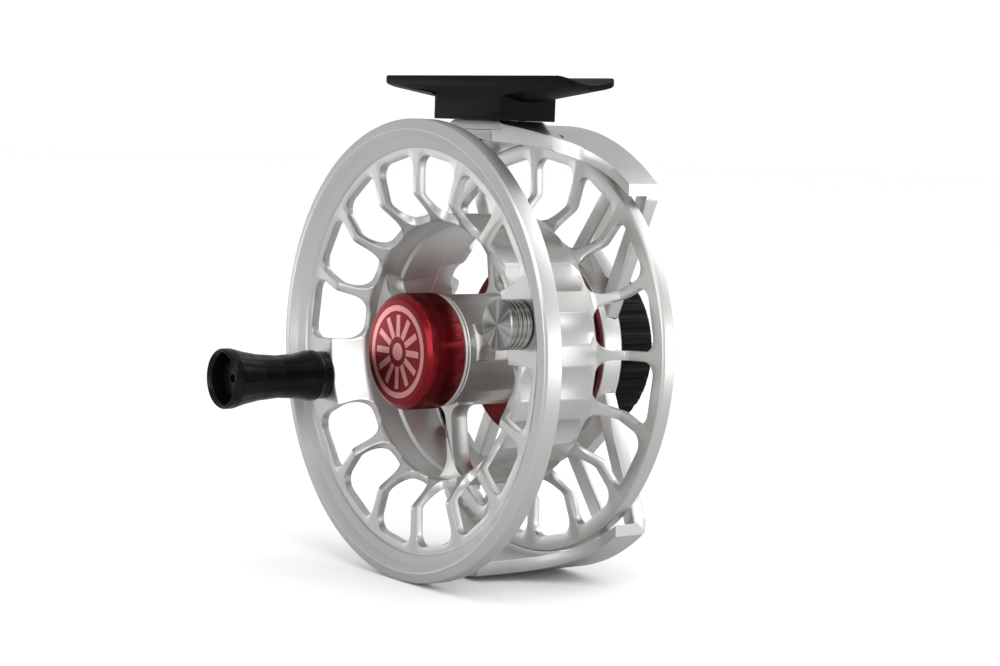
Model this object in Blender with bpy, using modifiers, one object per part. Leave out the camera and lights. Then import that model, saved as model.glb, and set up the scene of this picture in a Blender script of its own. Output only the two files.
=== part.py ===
"""A disc-drag fly reel: ported spool on a half frame, with its foot up and its handle facing -Y.

The origin is the middle of the foot's seat. Every piece hangs from an empty on the reel's spin axis,
which is turned so that, locally, X is to the right and Y is up in a view of the handle side, and Z is
the depth towards that side. Lengths are in millimetres until MM turns them into metres.
"""

import math

import bmesh
import bpy
from mathutils import Matrix, Vector

MM = 0.001
TURN_STEPS = 64
SMALL_STEPS = 24
DISC_STEPS = 32
GAP = 0.3  # kept between pieces that touch

# foot
SEAT_HEIGHT = 52.25  # spin axis up to the middle of the seat
SEAT_RADIUS = 14.0  # hollow of the seat, across the foot
SEAT_STEPS = 40  # one of whose facets is the flat in the middle
FOOT_HALF_LENGTH = 31.0
FOOT_HALF_WIDTH = 6.4
FOOT_EDGE_HEIGHT = 53.8
PEDESTAL_HALF_LENGTH = 11.6
PEDESTAL_BOTTOM = 45.2
FOOT_SCREW_X = 6.5

# spool
SPOOL_ANGLE = 13.65  # how far the spool is turned from handle-level
PORT_COUNT = 16
SPOKE_WIDTH = 1.8
FRONT_RIM_RADIUS = 45.0
FRONT_FACE = 19.7
WEB_FRONT = 17.2
WEB_BACK = 15.4
REAR_RIM_RADIUS = 41.1
REAR_WEB = -11.3
REAR_FACE = -14.3
KNEE_RADIUS = 30.4  # where the flat web bends into the arbor
ARBOR_RADIUS = 26.8
BORE_RADIUS = 25.2
VALLEY_RADIUS = 9.0  # of the hollows between the arbor's ribs
VALLEY_DEPTH = 0.75
HUB_RADIUS = 10.95
HUB_FRONT = 11.8
HUB_REAR = -6.6
HUB_BORE = 8.3
FRONT_ARMS = (0.0, 144.4, 264.4)  # angles on the spool, the first behind the counterweight
REAR_ARMS = (84.4, 204.4, 324.4)
ARM_WIDTH = 2.4
ARM_DEPTH = 4.0
GRIP_RADIUS_ON_SPOOL = 34.5
GRIP_END = 41.1
DOG_RADIUS_ON_HUB = 9.6

# frame
BAND_OUTER = 44.6
BAND_INNER = 41.8
HOLLOW_STRETCH = 1.06  # how much wider than high the inside of the bands is
BAND_FRONT = 6.4
BAND_HALF_SPAN = 28.9
FRAME_REAR = -18.8
SPIDER_FRONT = -15.8
SWEEP_RADIUS = 23.8
SWEEP_X = 31.4
SWEEP_DEPTH = 12.3
BOSS_RADIUS = 19.5
BOSS_FRONT = -14.5
BOSS_FLOOR = -16.3
BOSS_REAR = -19.0
BAR_WIDTH = 3.4
PAD_HALF_LENGTH = 8.0  # flat under the pedestal, then slopes down to the band
PAD_SLOPE_END = (16.5, 41.33)
SLOT_HALF_LENGTH = 9.2  # milled into the band's front edge, under the pedestal
SLOT_FLOOR = 43.3
SLOT_REAR = 4.4
BARS = (((5.8, 17.3), (22.2, 38.4)), ((16.6, 8.0), (27.6, 32.0)))  # one quadrant's two struts

# drag and axle
HOUSING_RADIUS = 18.0
HOUSING_FRONT = -8.0
HOUSING_REAR = -14.2
STACK_RADIUS = 15.1
SPINDLE_RADIUS = 3.7
KNOB_RADIUS = 16.5
KNOB_FRONT = -19.9
KNOB_REAR = -30.0
KNOB_FLUTES = 30
HOUSING_SCREW_RADIUS = 16.7
HOUSING_SCREW_COUNT = 3
CAP_RADIUS = 11.3
CAP_FRONT = 21.1
CAP_REAR = 12.8
CLICK_TEETH = 30

# spare width that takes a cutter past the wall it cuts
PAST = 6.0

for old in list(bpy.data.objects):
    bpy.data.objects.remove(old, do_unlink=True)

reel = bpy.data.collections.new("fly_reel")
cutters = bpy.data.collections.new("cutters")
for collection in (reel, cutters):
    bpy.context.scene.collection.children.link(collection)
cutters.hide_render = True


def material(name, colour, metallic, roughness):
    made = bpy.data.materials.new(name)
    made.use_nodes = True
    shader = made.node_tree.nodes["Principled BSDF"]
    shader.inputs["Base Color"].default_value = (*colour, 1.0)
    shader.inputs["Metallic"].default_value = metallic
    shader.inputs["Roughness"].default_value = roughness
    return made


SILVER = ((0.72, 0.73, 0.73), 1.0, 0.38)
BLACK = ((0.012, 0.012, 0.013), 0.6, 0.32)
RED = ((0.45, 0.01, 0.02), 0.9, 0.30)
STEEL = ((0.60, 0.58, 0.56), 1.0, 0.22)
CARBON = ((0.03, 0.03, 0.035), 0.0, 0.55)
RUBBER = ((0.02, 0.02, 0.02), 0.0, 0.80)


def empty(name, parent, place=(0, 0, 0), turn=(0, 0, 0)):
    made = bpy.data.objects.new(name, None)
    made.parent = parent
    made.location = Vector(place) * MM
    made.rotation_euler = [math.radians(angle) for angle in turn]
    reel.objects.link(made)
    return made


def add(name, mesh, parent, look=None):
    """A part when it has a look, and a hidden cutter when it has none."""
    made = bpy.data.objects.new(name, mesh)
    made.parent = parent
    if look is None:
        cutters.objects.link(made)
        made.hide_render = True
        made.display_type = "WIRE"
    else:
        reel.objects.link(made)
        mesh.materials.append(material(name, *look))
    return made


def mesh_from(shape, name):
    mesh = bpy.data.meshes.new(name)
    bmesh.ops.scale(shape, vec=(MM, MM, MM), verts=shape.verts)
    bmesh.ops.recalc_face_normals(shape, faces=shape.faces)
    shape.to_mesh(mesh)
    shape.free()
    return mesh


def turned(name, profile, parent, look=None, steps=TURN_STEPS, ring=True):
    """A profile of (radius, depth) points turned about Z. It runs down its outer side; a ring's closes."""
    shape = bmesh.new()
    points = [shape.verts.new((radius, 0, depth)) for radius, depth in profile]
    for first, second in zip(points, points[1:]):
        shape.edges.new((first, second))
    if ring:
        shape.edges.new((points[-1], points[0]))
    mesh = bpy.data.meshes.new(name)
    bmesh.ops.scale(shape, vec=(MM, MM, MM), verts=shape.verts)
    shape.to_mesh(mesh)
    shape.free()
    made = add(name, mesh, parent, look)
    screw = made.modifiers.new("turn", "SCREW")
    screw.steps = steps
    screw.render_steps = steps
    screw.use_merge_vertices = True
    screw.merge_threshold = 0.00001
    screw.use_smooth_shade = True
    return made


def ring(name, outer, inner, front, rear, parent, look, steps=DISC_STEPS):
    """A plain ring."""
    return turned(name, [(outer, front), (outer, rear), (inner, rear), (inner, front)], parent, look, steps)


def rod(name, sections, parent, look, steps=SMALL_STEPS):
    """A solid turned piece from (radius, depth) points down its outside, closed on the axis."""
    ends = [(0, sections[0][1])], [(0, sections[-1][1])]
    return turned(name, ends[0] + sections + ends[1], parent, look, steps, ring=False)


def block(name, low, high, parent, look=None, turn=0.0):
    """A box between two corners, turned about Z by some degrees."""
    shape = bmesh.new()
    bmesh.ops.create_cube(shape, size=1.0)
    size = [b - a for a, b in zip(low, high)]
    middle = [(a + b) / 2 for a, b in zip(low, high)]
    bmesh.ops.scale(shape, vec=size, verts=shape.verts)
    bmesh.ops.translate(shape, vec=middle, verts=shape.verts)
    bmesh.ops.rotate(shape, matrix=Matrix.Rotation(math.radians(turn), 3, "Z"), verts=shape.verts)
    return add(name, mesh_from(shape, name), parent, look)


def pins(name, radius, front, rear, places, parent, look=None, steps=12):
    """Round bars along Z at each (x, y) place, in one mesh."""
    shape = bmesh.new()
    for x, y in places:
        centre = Matrix.Translation((x, y, (front + rear) / 2))
        bmesh.ops.create_cone(
            shape, cap_ends=True, segments=steps, radius1=radius, radius2=radius, depth=front - rear, matrix=centre
        )
    return add(name, mesh_from(shape, name), parent, look)


def slab(outline, low, high, name):
    """A flat outline of (x, y) points raised along Z."""
    shape = bmesh.new()
    face = shape.faces.new([shape.verts.new((x, y, low)) for x, y in outline])
    grown = bmesh.ops.extrude_face_region(shape, geom=[face])["geom"]
    lifted = [item for item in grown if isinstance(item, bmesh.types.BMVert)]
    bmesh.ops.translate(shape, vec=(0, 0, high - low), verts=lifted)
    return mesh_from(shape, name)


def change(part, tool, operation):
    boolean = part.modifiers.new(f"{operation.lower()} {tool.name}", "BOOLEAN")
    boolean.operation = operation
    boolean.object = tool
    boolean.solver = "EXACT"


def cut(part, tool):
    change(part, tool, "DIFFERENCE")


def join(part, tool):
    change(part, tool, "UNION")


def around(radius, count, start=0.0):
    """Places evenly round a circle."""
    angles = [math.radians(start + 360 * step / count) for step in range(count)]
    return [(radius * math.cos(angle), radius * math.sin(angle)) for angle in angles]


reel_axis = empty("reel_axis", None, (0, 0, -SEAT_HEIGHT), (90, 0, 0))
spool_axis = empty("spool_axis", reel_axis, turn=(0, 0, SPOOL_ANGLE))
handle_axis = empty("handle_axis", spool_axis, (-GRIP_RADIUS_ON_SPOOL, 0, 0))
weight_axis = empty("counterweight_axis", spool_axis, (GRIP_RADIUS_ON_SPOOL, 0, 0))


def port_cutter(name, indices, outer, inner, mouth, end, round_off):
    """Wedges that open the web and run down onto the arbor, leaving a spoke of even width between two."""
    half_pitch = math.pi / PORT_COUNT
    shape = bmesh.new()
    for index in indices:
        wedge = bmesh.new()
        corners = bmesh.ops.create_cube(wedge, size=2.0)["verts"]
        rounded = []
        for edge in wedge.edges:
            a, b = (vert.co.copy() for vert in edge.verts)
            along_depth = a.x == b.x == 1 and a.y == b.y
            along_radius = a.z == b.z == -1 and a.y == b.y
            if along_depth or along_radius:
                rounded.append(edge)
        for vert in corners:
            radius = outer if vert.co.x > 0 else inner
            half_width = radius * math.tan(half_pitch) - SPOKE_WIDTH / 2 / math.cos(half_pitch)
            depth = mouth if vert.co.z > 0 else end
            vert.co = Vector((radius, math.copysign(half_width, vert.co.y), depth))
        bmesh.ops.bevel(wedge, geom=rounded, offset=round_off, segments=3, profile=0.5, affect="EDGES")
        turn = Matrix.Rotation(2 * half_pitch * index, 3, "Z")
        bmesh.ops.rotate(wedge, matrix=turn, verts=wedge.verts)
        copy = bpy.data.meshes.new("wedge")
        wedge.to_mesh(copy)
        wedge.free()
        shape.from_mesh(copy)
        bpy.data.meshes.remove(copy)
    return add(name, mesh_from(shape, name), spool_axis)


def spool():
    """Both flanges, the arbor and the hub with its arms, machined in one piece."""
    front_rim = [
        (FRONT_RIM_RADIUS - 2.1, FRONT_FACE),
        (FRONT_RIM_RADIUS - 0.3, FRONT_FACE - 0.4),
        (FRONT_RIM_RADIUS, FRONT_FACE - 0.8),
        (FRONT_RIM_RADIUS, WEB_BACK + 0.3),
        (FRONT_RIM_RADIUS - 0.3, WEB_BACK),
    ]
    line_side = [
        (KNEE_RADIUS + 0.6, WEB_BACK),
        (KNEE_RADIUS - 0.6, WEB_BACK - 0.6),
        (ARBOR_RADIUS, WEB_BACK - 4.4),
        (ARBOR_RADIUS, REAR_WEB + 4.4),
        (KNEE_RADIUS - 0.6, REAR_WEB + 0.6),
        (KNEE_RADIUS + 0.6, REAR_WEB),
    ]
    rear_rim = [
        (REAR_RIM_RADIUS - 0.6, REAR_WEB),
        (REAR_RIM_RADIUS - 0.3, REAR_WEB - 0.3),
        (REAR_RIM_RADIUS, REAR_FACE + 0.3),
        (REAR_RIM_RADIUS - 0.3, REAR_FACE),
        (REAR_RIM_RADIUS - 2.4, REAR_FACE),
        (REAR_RIM_RADIUS - 2.9, REAR_WEB - 1.8),
    ]
    bore = [
        (KNEE_RADIUS + 0.2, REAR_WEB - 1.8),
        (BORE_RADIUS, REAR_WEB + 3.2),
        (BORE_RADIUS, -2.4),
        (BORE_RADIUS - 0.7, -2.0),
        (BORE_RADIUS - 0.7, 6.2),
        (BORE_RADIUS, 6.6),
        (BORE_RADIUS, WEB_FRONT - 5.4),
        (KNEE_RADIUS + 0.2, WEB_FRONT),
        (FRONT_RIM_RADIUS - 5.6, WEB_FRONT),
        (FRONT_RIM_RADIUS - 5.2, WEB_FRONT + 0.3),
        (FRONT_RIM_RADIUS - 3.6, WEB_FRONT + 1.3),
    ]
    body = turned("spool", front_rim + line_side + rear_rim + bore, spool_axis, SILVER)

    hub_profile = [
        (HUB_RADIUS - 0.4, HUB_FRONT),
        (HUB_RADIUS, HUB_FRONT - 0.4),
        (HUB_RADIUS, HUB_REAR + 0.4),
        (HUB_RADIUS - 0.4, HUB_REAR),
        (HUB_BORE, HUB_REAR),
        (HUB_BORE, 0.3),
        (HUB_BORE - 2.1, 0.3),
        (HUB_BORE - 2.1, 5.7),
        (HUB_BORE, 5.7),
        (HUB_BORE, HUB_FRONT),
    ]
    hub = turned("hub_shape", hub_profile, spool_axis, steps=SMALL_STEPS)
    for angles, rear in ((FRONT_ARMS, 6.0), (REAR_ARMS, -6.0)):
        for angle in angles:
            low = (HUB_RADIUS - 1.4, -ARM_WIDTH / 2, rear)
            high = (BORE_RADIUS + 0.6, ARM_WIDTH / 2, rear + ARM_DEPTH)
            join(hub, block(f"arm_shape_{round(angle)}", low, high, spool_axis, turn=angle))
    join(body, hub)

    opposite = PORT_COUNT // 2
    open_front = [index for index in range(PORT_COUNT) if index % opposite]
    cut(body, port_cutter("front_ports", open_front, 37.9, 20.0, FRONT_FACE + PAST, WEB_FRONT - 5.7, 3.0))
    rear_ports = port_cutter("rear_ports", range(PORT_COUNT), 37.9, 20.0, FRONT_FACE, 6.6, 3.0)
    rear_ports.scale.z = -1
    cut(body, rear_ports)

    scoops = bmesh.new()
    for x, y in around(ARBOR_RADIUS - VALLEY_DEPTH + VALLEY_RADIUS, PORT_COUNT):
        place = Matrix.Translation((x, y, 2.45))
        bmesh.ops.create_cone(
            scoops, cap_ends=True, segments=36, radius1=VALLEY_RADIUS, radius2=VALLEY_RADIUS, depth=20.0, matrix=place
        )
    cut(body, add("arbor_scoops", mesh_from(scoops, "arbor_scoops"), spool_axis))

    dogs = around(DOG_RADIUS_ON_HUB, 2, 90)
    cut(body, pins("dog_holes", 1.0, HUB_REAR + 2.2, HUB_REAR - PAST, dogs, spool_axis))
    stems = [(-GRIP_RADIUS_ON_SPOOL, 0), (GRIP_RADIUS_ON_SPOOL, 0)]
    cut(body, pins("stem_holes", 1.8, FRONT_FACE + PAST, WEB_BACK - PAST, stems, spool_axis, steps=16))


def handle():
    """A grip that turns on a pin, which a screw holds from behind the web."""
    end = GRIP_END
    grip = [
        (5.7, end),
        (6.1, end - 0.6),
        (6.1, end - 2.0),
        (5.5, end - 4.6),
        (4.8, end - 8.0),
        (4.5, end - 12.0),
        (4.6, end - 16.0),
        (5.1, end - 20.0),
        (5.2, end - 21.2),
        (4.8, end - 22.1),
        (4.8, WEB_FRONT + GAP),
        (2.6, WEB_FRONT + GAP),
        (2.6, end - 5.0),
        (5.0, end - 5.0),
        (5.2, end - 0.6),
    ]
    turned("handle_grip", grip, handle_axis, BLACK, steps=32)
    pin = [(1.9, end - 2.9), (3.6, end - 2.9), (3.6, end - 4.7), (2.3, end - 4.7), (2.3, WEB_FRONT + GAP)]
    pin += [(1.5, WEB_FRONT + GAP), (1.5, WEB_BACK - 0.1)]
    turned("handle_spindle", pin + [(0.9, WEB_BACK - 0.1), (0.9, end - 2.9)], handle_axis, BLACK, SMALL_STEPS)
    screw = [(2.7, WEB_BACK - GAP), (2.7, WEB_BACK - 1.3)]
    body = rod("handle_screw", [(0.6, end - 6.0), (0.6, WEB_BACK - GAP)] + screw, handle_axis, STEEL, 16)
    cut(body, block("handle_screw_slot", (-PAST, -0.3, 0), (PAST, 0.3, WEB_BACK - 0.9), handle_axis))


def counterweight():
    """A grooved steel button opposite the handle, with its screw."""
    front = WEB_FRONT + 4.9
    radius = 4.65
    profile = [(radius - 0.3, front), (radius, front - 0.3)]
    for groove in range(3):
        top = front - 1.4 - 0.95 * groove
        profile += [(radius, top), (radius - 0.35, top - 0.25), (radius, top - 0.5)]
    bottom = WEB_FRONT + GAP
    profile += [(radius, bottom), (1.4, bottom), (1.4, front - 1.4)]
    rod_profile = [(0, front)] + profile + [(0, front - 1.4)]
    turned("counterweight", rod_profile, weight_axis, STEEL, SMALL_STEPS, ring=False)
    screw = [(1.1, front - 1.9), (1.1, WEB_BACK - GAP), (2.7, WEB_BACK - GAP), (2.7, WEB_BACK - 1.3)]
    body = rod("counterweight_screw", screw, weight_axis, STEEL, 16)
    cut(body, block("counterweight_screw_slot", (-PAST, -0.3, 0), (PAST, 0.3, WEB_BACK - 0.9), weight_axis))


def cap():
    """The knurled nut that holds the spool on the spindle, and its washer."""
    profile = [
        (0, CAP_FRONT),
        (10.2, CAP_FRONT),
        (10.9, CAP_FRONT - 0.4),
        (CAP_RADIUS, CAP_FRONT - 1.2),
        (CAP_RADIUS, CAP_REAR + 0.3),
        (CAP_RADIUS - 0.3, CAP_REAR),
        (3.4, CAP_REAR),
        (3.4, CAP_FRONT - 2.0),
        (0, CAP_FRONT - 2.0),
    ]
    turned("spool_cap", profile, reel_axis, RED, steps=40, ring=False)
    ring("cap_washer", HUB_RADIUS + 0.1, 5.0, CAP_REAR - GAP, HUB_FRONT + GAP, reel_axis, STEEL, 48)


def axle():
    """The fixed spindle, the two spool bearings and the one-way clutch."""
    spindle = [
        (2.6, CAP_FRONT - 2.4),
        (3.0, CAP_FRONT - 2.8),
        (3.0, CAP_REAR - GAP - 0.2),
        (SPINDLE_RADIUS, CAP_REAR - GAP - 0.6),
        (SPINDLE_RADIUS, BOSS_FLOOR + 1.4),
        (5.4, BOSS_FLOOR + 1.4),
        (5.4, BOSS_FLOOR + GAP),
        (4.2, BOSS_FLOOR + GAP),
        (4.2, BOSS_REAR - 0.3),
        (2.5, BOSS_REAR - 0.3),
        (2.5, KNOB_REAR + 3.4),
    ]
    rod("spindle", spindle, reel_axis, STEEL)
    inner = SPINDLE_RADIUS + GAP
    for name, front in (("front_bearing", 11.2), ("rear_bearing", 0.0)):
        rear = front - 5.0
        shield = [(HUB_BORE - 1.3, front), (HUB_BORE - 1.4, front - 0.2), (inner + 1.1, front - 0.2), (inner + 1.0, front)]
        race = [(inner, front), (inner, rear), (inner + 1.0, rear)]
        back = [(inner + 1.1, rear + 0.2), (HUB_BORE - 1.4, rear + 0.2), (HUB_BORE - 1.3, rear)]
        wall = [(HUB_BORE - GAP, rear), (HUB_BORE - GAP, front)]
        turned(name, (shield + race + back + wall)[::-1], reel_axis, STEEL, SMALL_STEPS)
    ring("one_way_clutch", 6.0, inner, HUB_REAR - GAP - 0.3, -11.7, reel_axis, STEEL, SMALL_STEPS)


def drag():
    """The sealed housing and, inside it, the disc stack and the click, from front to rear."""
    hole = 8.1
    housing = [
        (HOUSING_RADIUS - 0.8, HOUSING_FRONT),
        (HOUSING_RADIUS, HOUSING_FRONT - 0.8),
        (HOUSING_RADIUS, HOUSING_REAR + 0.3),
        (HOUSING_RADIUS - 0.3, HOUSING_REAR),
        (STACK_RADIUS + GAP, HOUSING_REAR),
        (STACK_RADIUS + GAP, HOUSING_FRONT - 1.0),
        (hole, HOUSING_FRONT - 1.0),
        (hole, HOUSING_FRONT),
    ]
    shell = turned("drag_housing", housing, reel_axis, RED, steps=48)
    screws = around(HOUSING_SCREW_RADIUS, HOUSING_SCREW_COUNT, 90)
    cut(shell, pins("housing_holes", 1.0, HOUSING_REAR + 2.6, HOUSING_REAR - PAST, screws, reel_axis))
    cut(shell, pins("pawl_pin_hole", 0.8, HOUSING_FRONT - 0.5, HOUSING_REAR, [(12.6, 0)], reel_axis))
    for index, (x, y) in enumerate(screws, start=1):
        place = empty(f"housing_screw_{index}_axis", reel_axis, (x, y, 0))
        shank = [(0.7, HOUSING_REAR + 2.2), (0.7, BOSS_REAR + 1.5), (1.8, BOSS_REAR + 1.5), (1.8, BOSS_REAR + 0.2)]
        body = rod(f"housing_screw_{index}", shank, place, STEEL, 12)
        low, high = (-PAST, -0.25, BOSS_REAR - PAST), (PAST, 0.25, BOSS_REAR + 0.7)
        cut(body, block(f"housing_screw_{index}_slot", low, high, place))

    sleeve = [
        (DOG_RADIUS_ON_HUB + 0.9, HUB_REAR - GAP),
        (DOG_RADIUS_ON_HUB + 0.9, HOUSING_FRONT + GAP),
        (hole - GAP, HOUSING_FRONT + GAP),
        (hole - GAP, -12.0),
        (6.3, -12.0),
        (6.3, HUB_REAR - GAP),
    ]
    drive = turned("drive_hub", sleeve, spool_axis, STEEL, SMALL_STEPS)
    dogs = around(DOG_RADIUS_ON_HUB, 2, 90)
    join(drive, pins("dogs", 0.65, HUB_REAR + 1.8, HUB_REAR - GAP - 0.4, dogs, spool_axis))

    teeth = around(10.2, CLICK_TEETH)
    roots = around(9.3, CLICK_TEETH, 180 / CLICK_TEETH)
    outline = [point for pair in zip(teeth, roots) for point in pair]
    top = HOUSING_FRONT - 1.0 - GAP
    wheel = add("click_gear", slab(outline, top - 0.8, top, "click_gear"), spool_axis, STEEL)
    cut(wheel, pins("click_gear_bore", hole, HUB_REAR, HOUSING_REAR, [(0, 0)], spool_axis, steps=SMALL_STEPS))

    pawl_axis = empty("pawl_axis", reel_axis, (12.6, 0, 0))
    pawl = pins("click_pawl", 1.7, top, top - 0.8, [(0, 0)], pawl_axis, STEEL, steps=24)
    nose = block("pawl_nose", (-2.1, -0.3, top - 0.8), (0.2, 0.3, top), pawl_axis)
    join(pawl, nose)
    cut(pawl, pins("pawl_bore", 0.8, top + 1, top - 2, [(0, 0)], pawl_axis, steps=16))
    pins("pawl_pin", 0.5, HOUSING_FRONT - 0.7, top - 0.9, [(0, 0)], pawl_axis, STEEL, steps=16)
    spring_low, spring_high = (11.0, 2.0, top - 0.7), (14.2, 2.4, top - 0.1)
    block("click_spring", spring_low, spring_high, reel_axis, STEEL)

    ring("rotor_disc", STACK_RADIUS, hole, -10.4, -11.2, spool_axis, STEEL)
    ring("friction_disc", STACK_RADIUS, hole + 0.3, -11.5, -12.0, reel_axis, CARBON)
    ring("pressure_plate", STACK_RADIUS, SPINDLE_RADIUS + GAP, -12.3, -13.3, reel_axis, STEEL)
    spring = [(11.6, -13.9), (11.6, -14.4), (6.0, -14.1), (6.0, -13.6)]
    turned("disc_spring", spring, reel_axis, STEEL, SMALL_STEPS)


def frame():
    """Two bands, a spider of eight struts and a boss, machined in one piece."""
    blank = BAND_INNER - 3.0
    band = [(BAND_OUTER - 0.3, BAND_FRONT), (BAND_OUTER, BAND_FRONT - 0.3), (BAND_OUTER, FRAME_REAR + 0.6)]
    band += [(BAND_OUTER - 0.6, FRAME_REAR), (blank, FRAME_REAR), (blank, BAND_FRONT)]
    body = turned("frame", band, reel_axis, SILVER)
    x, y = PAD_SLOPE_END
    pad_top = PEDESTAL_BOTTOM - GAP
    outline = [(-PAD_HALF_LENGTH, pad_top), (PAD_HALF_LENGTH, pad_top), (x, y), (x, y - 1.0), (-x, y - 1.0), (-x, y)]
    join(body, add("foot_pad", slab(outline, FRAME_REAR + 0.6, BAND_FRONT, "foot_pad"), reel_axis))
    hollow = pins("band_hollow", BAND_INNER, BAND_FRONT + PAST, FRAME_REAR - PAST, [(0, 0)], reel_axis, steps=TURN_STEPS)
    hollow.scale.x = HOLLOW_STRETCH
    cut(body, hollow)
    for side in (-1, 1):
        sweep = bmesh.new()
        stand = Matrix.Translation((side * SWEEP_X, 0, SWEEP_DEPTH)) @ Matrix.Rotation(math.pi / 2, 4, "X")
        bmesh.ops.create_cone(
            sweep, cap_ends=True, segments=96, radius1=SWEEP_RADIUS, radius2=SWEEP_RADIUS, depth=110, matrix=stand
        )
        cut(body, add(f"band_sweep_{side}", mesh_from(sweep, "band_sweep"), reel_axis))
    low, high = (-SLOT_HALF_LENGTH, SLOT_FLOOR, SLOT_REAR), (SLOT_HALF_LENGTH, SLOT_FLOOR + PAST, BAND_FRONT + PAST)
    cut(body, block("band_slot", low, high, reel_axis))

    boss = [
        (BOSS_RADIUS - 0.3, BOSS_FRONT),
        (BOSS_RADIUS, BOSS_FRONT - 0.3),
        (BOSS_RADIUS, BOSS_REAR + 0.3),
        (BOSS_RADIUS - 0.3, BOSS_REAR),
        (4.5, BOSS_REAR),
        (4.5, BOSS_FLOOR),
        (STACK_RADIUS + GAP, BOSS_FLOOR),
        (STACK_RADIUS + GAP, BOSS_FRONT),
    ]
    spider = turned("boss_shape", boss, reel_axis)
    for across in (-1, 1):
        for up in (-1, 1):
            for number, (start, end) in enumerate(BARS):
                start = Vector((start[0] * across, start[1] * up))
                end = Vector((end[0] * across, end[1] * up))
                angle = math.degrees(math.atan2(end.y - start.y, end.x - start.x))
                low = (0, -BAR_WIDTH / 2, FRAME_REAR)
                high = ((end - start).length + 3.6, BAR_WIDTH / 2, SPIDER_FRONT)
                bar = block(f"bar_{across}_{up}_{number}", low, high, reel_axis, turn=angle)
                bar.location = Vector((start.x, start.y, 0)) * MM
                join(spider, bar)
            low, high = (BOSS_RADIUS - 2.0, -6.0, FRAME_REAR), (23.2, 6.0, SPIDER_FRONT)
            angle = math.degrees(math.atan2(0.74 * up, 0.67 * across))
            join(spider, block(f"web_{across}_{up}", low, high, reel_axis, turn=angle))
    outside = [(60, 0), (60, -40), (BAND_OUTER - 0.8, -40), (BAND_OUTER - 0.8, 0)]
    cut(spider, turned("spider_trim", outside, reel_axis))
    join(body, spider)
    for side in (-1, 1):
        near, far = sorted((side * BAND_HALF_SPAN, side * (BAND_OUTER + PAST)))
        low, high = (near, -BAND_OUTER, FRAME_REAR - PAST), (far, BAND_OUTER, BAND_FRONT + PAST)
        cut(body, block(f"band_end_{side}", low, high, reel_axis))

    screws = around(HOUSING_SCREW_RADIUS, HOUSING_SCREW_COUNT, 90)
    cut(body, pins("boss_holes", 1.0, BOSS_FRONT + PAST, BOSS_REAR - PAST, screws, reel_axis))
    cut(body, pins("boss_counterbores", 2.1, BOSS_REAR + 1.8, BOSS_REAR - PAST, screws, reel_axis, steps=16))
    for side in (-1, 1):
        place = empty(f"foot_screw_{side}_up", reel_axis, (side * FOOT_SCREW_X, 0, 0), (-90, 0, 0))
        cut(body, pins(f"band_hole_{side}", 1.5, 60, 30, [(0, 0)], place, steps=16))
        cut(body, pins(f"band_counterbore_{side}", 2.6, BAND_INNER + 0.9, 30, [(0, 0)], place, steps=20))


def foot():
    """A saddle clipped from a ring that is turned about the rod's line, on its pedestal."""
    seat_line = empty("seat_line", reel_axis, (0, SEAT_HEIGHT + SEAT_RADIUS, 0), (90, 90 - 180 / SEAT_STEPS, 90))
    corner = 1 / math.cos(math.pi / SEAT_STEPS)
    seat = SEAT_RADIUS * corner
    half = FOOT_HALF_LENGTH + PAST
    tip, root = (SEAT_RADIUS + 1.1) * corner, (SEAT_RADIUS + 3.5) * corner
    slope = (tip - root) / (FOOT_HALF_LENGTH - PEDESTAL_HALF_LENGTH)
    far = tip + slope * PAST
    saddle = [(far, half), (root, PEDESTAL_HALF_LENGTH), (root, -PEDESTAL_HALF_LENGTH), (far, -half)]
    body = turned("reel_foot", saddle + [(seat, -half), (seat, half)], seat_line, BLACK, steps=SEAT_STEPS)
    shape = bmesh.new()
    bmesh.ops.create_cube(shape, size=1.0)
    bmesh.ops.scale(shape, vec=(2 * FOOT_HALF_LENGTH, 20.0, 2 * FOOT_HALF_WIDTH), verts=shape.verts)
    bmesh.ops.translate(shape, vec=(0, FOOT_EDGE_HEIGHT - 10.0, 0), verts=shape.verts)
    upright = [edge for edge in shape.edges if abs(edge.verts[0].co.y - edge.verts[1].co.y) > 1]
    bmesh.ops.bevel(shape, geom=upright, offset=2.6, segments=5, profile=0.5, affect="EDGES")
    clip = add("foot_outline", mesh_from(shape, "foot_outline"), reel_axis)
    change(body, clip, "INTERSECT")
    low = (-PEDESTAL_HALF_LENGTH, PEDESTAL_BOTTOM, -FOOT_HALF_WIDTH)
    high = (PEDESTAL_HALF_LENGTH, SEAT_HEIGHT - 1.0, FOOT_HALF_WIDTH)
    join(body, block("pedestal", low, high, reel_axis))
    for side, name in ((-1, "left"), (1, "right")):
        place = empty(f"foot_screw_{name}_axis", reel_axis, (side * FOOT_SCREW_X, 0, 0), (-90, 0, 0))
        cut(body, pins(f"foot_hole_{name}", 1.3, SEAT_HEIGHT - 1.6, 30, [(0, 0)], place, steps=16))
        shank = [(1.0, SEAT_HEIGHT - 2.2), (1.0, BAND_INNER + 0.6), (2.3, BAND_INNER + 0.6), (2.3, BAND_INNER - 0.8)]
        screw = rod(f"foot_screw_{name}", shank, place, STEEL, 20)
        cut(screw, block(f"foot_slot_{name}", (-PAST, -0.3, 30), (PAST, 0.3, BAND_INNER - 0.3), place))


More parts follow.
